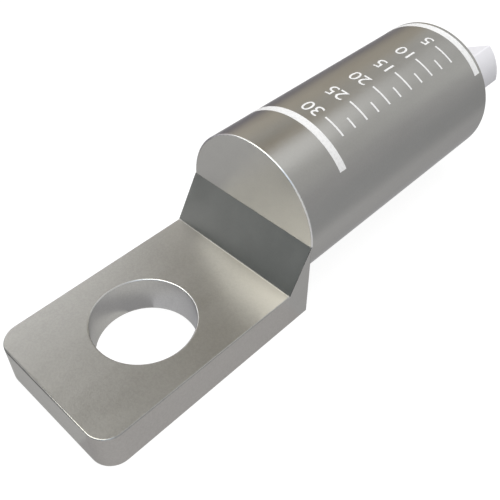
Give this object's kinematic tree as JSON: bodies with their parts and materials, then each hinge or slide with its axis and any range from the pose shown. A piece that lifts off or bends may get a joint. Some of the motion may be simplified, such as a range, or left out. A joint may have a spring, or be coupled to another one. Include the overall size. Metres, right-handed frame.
{
  "type": "compression lug",
  "caption": "Crimp-on cable lug with a flat drilled palm, a sloped shoulder and a round blind barrel, closed at the wire end by a pull-out plastic plug.",
  "frame": {"origin": "axis of the stud hole, at the underside of the palm", "axes": "+Z out of the palm's top along the stud, +Y along the barrel towards its open wire end, +X across the palm"},
  "size_m": [0.0214, 0.0845, 0.0229],
  "materials": {
    "lug_metal": "satin tin plate",
    "plug_plastic": "semi-matte moulded"
  },
  "bodies": {
    "lug": {"lug_body": "lug_metal"},
    "plug": {"end_plug": "plug_plastic"}
  },
  "joints": [
    {"name": "plug_pull", "type": "slide", "parent": "lug", "child": "plug", "axis": [0, 1, 0], "range_m": [0, 0.05]}
  ]
}
